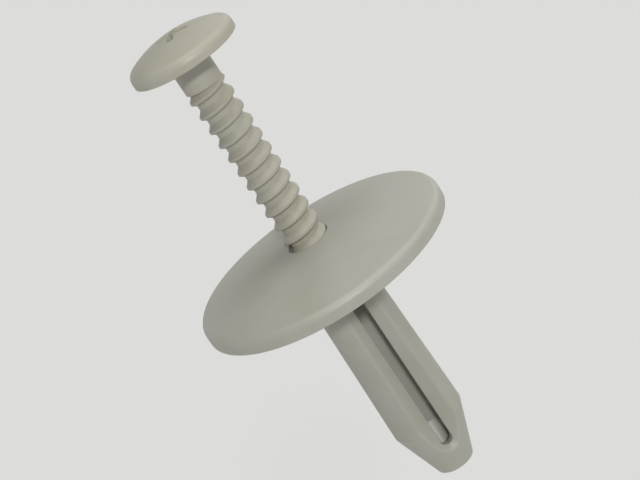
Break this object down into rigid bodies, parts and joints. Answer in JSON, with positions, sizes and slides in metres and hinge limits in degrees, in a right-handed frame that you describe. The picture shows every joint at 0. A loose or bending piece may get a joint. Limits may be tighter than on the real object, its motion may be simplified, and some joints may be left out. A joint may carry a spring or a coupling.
{
  "type": "plastic push rivet",
  "caption": "Flanged, slotted grommet with a coarse-threaded, dome-headed pin that is pushed in to spread its legs behind a panel and unscrewed to free it.",
  "frame": {"origin": "on the rivet's axis, in the plane of the panel's face that the rim of the flange seats on", "axes": "+Z along the rivet's axis to the pin's head, away from the panel; -Z along the shank; one of the three slots faces -Y, turned 10 degrees towards +X"},
  "size_m": [0.03, 0.03, 0.0593],
  "materials": {
    "grommet_nylon": "satin moulded nylon, light warm grey",
    "pin_nylon": "satin moulded nylon, light warm grey"
  },
  "bodies": {
    "grommet_body": {"grommet": "grommet_nylon"},
    "pin_body": {"screw_pin": "pin_nylon"}
  },
  "joints": [
    {"name": "pin_drive", "type": "slide", "parent": "grommet_body", "child": "pin_body", "axis": [0, 0, 1], "range_m": [-0.024, 0.0064]}
  ]
}
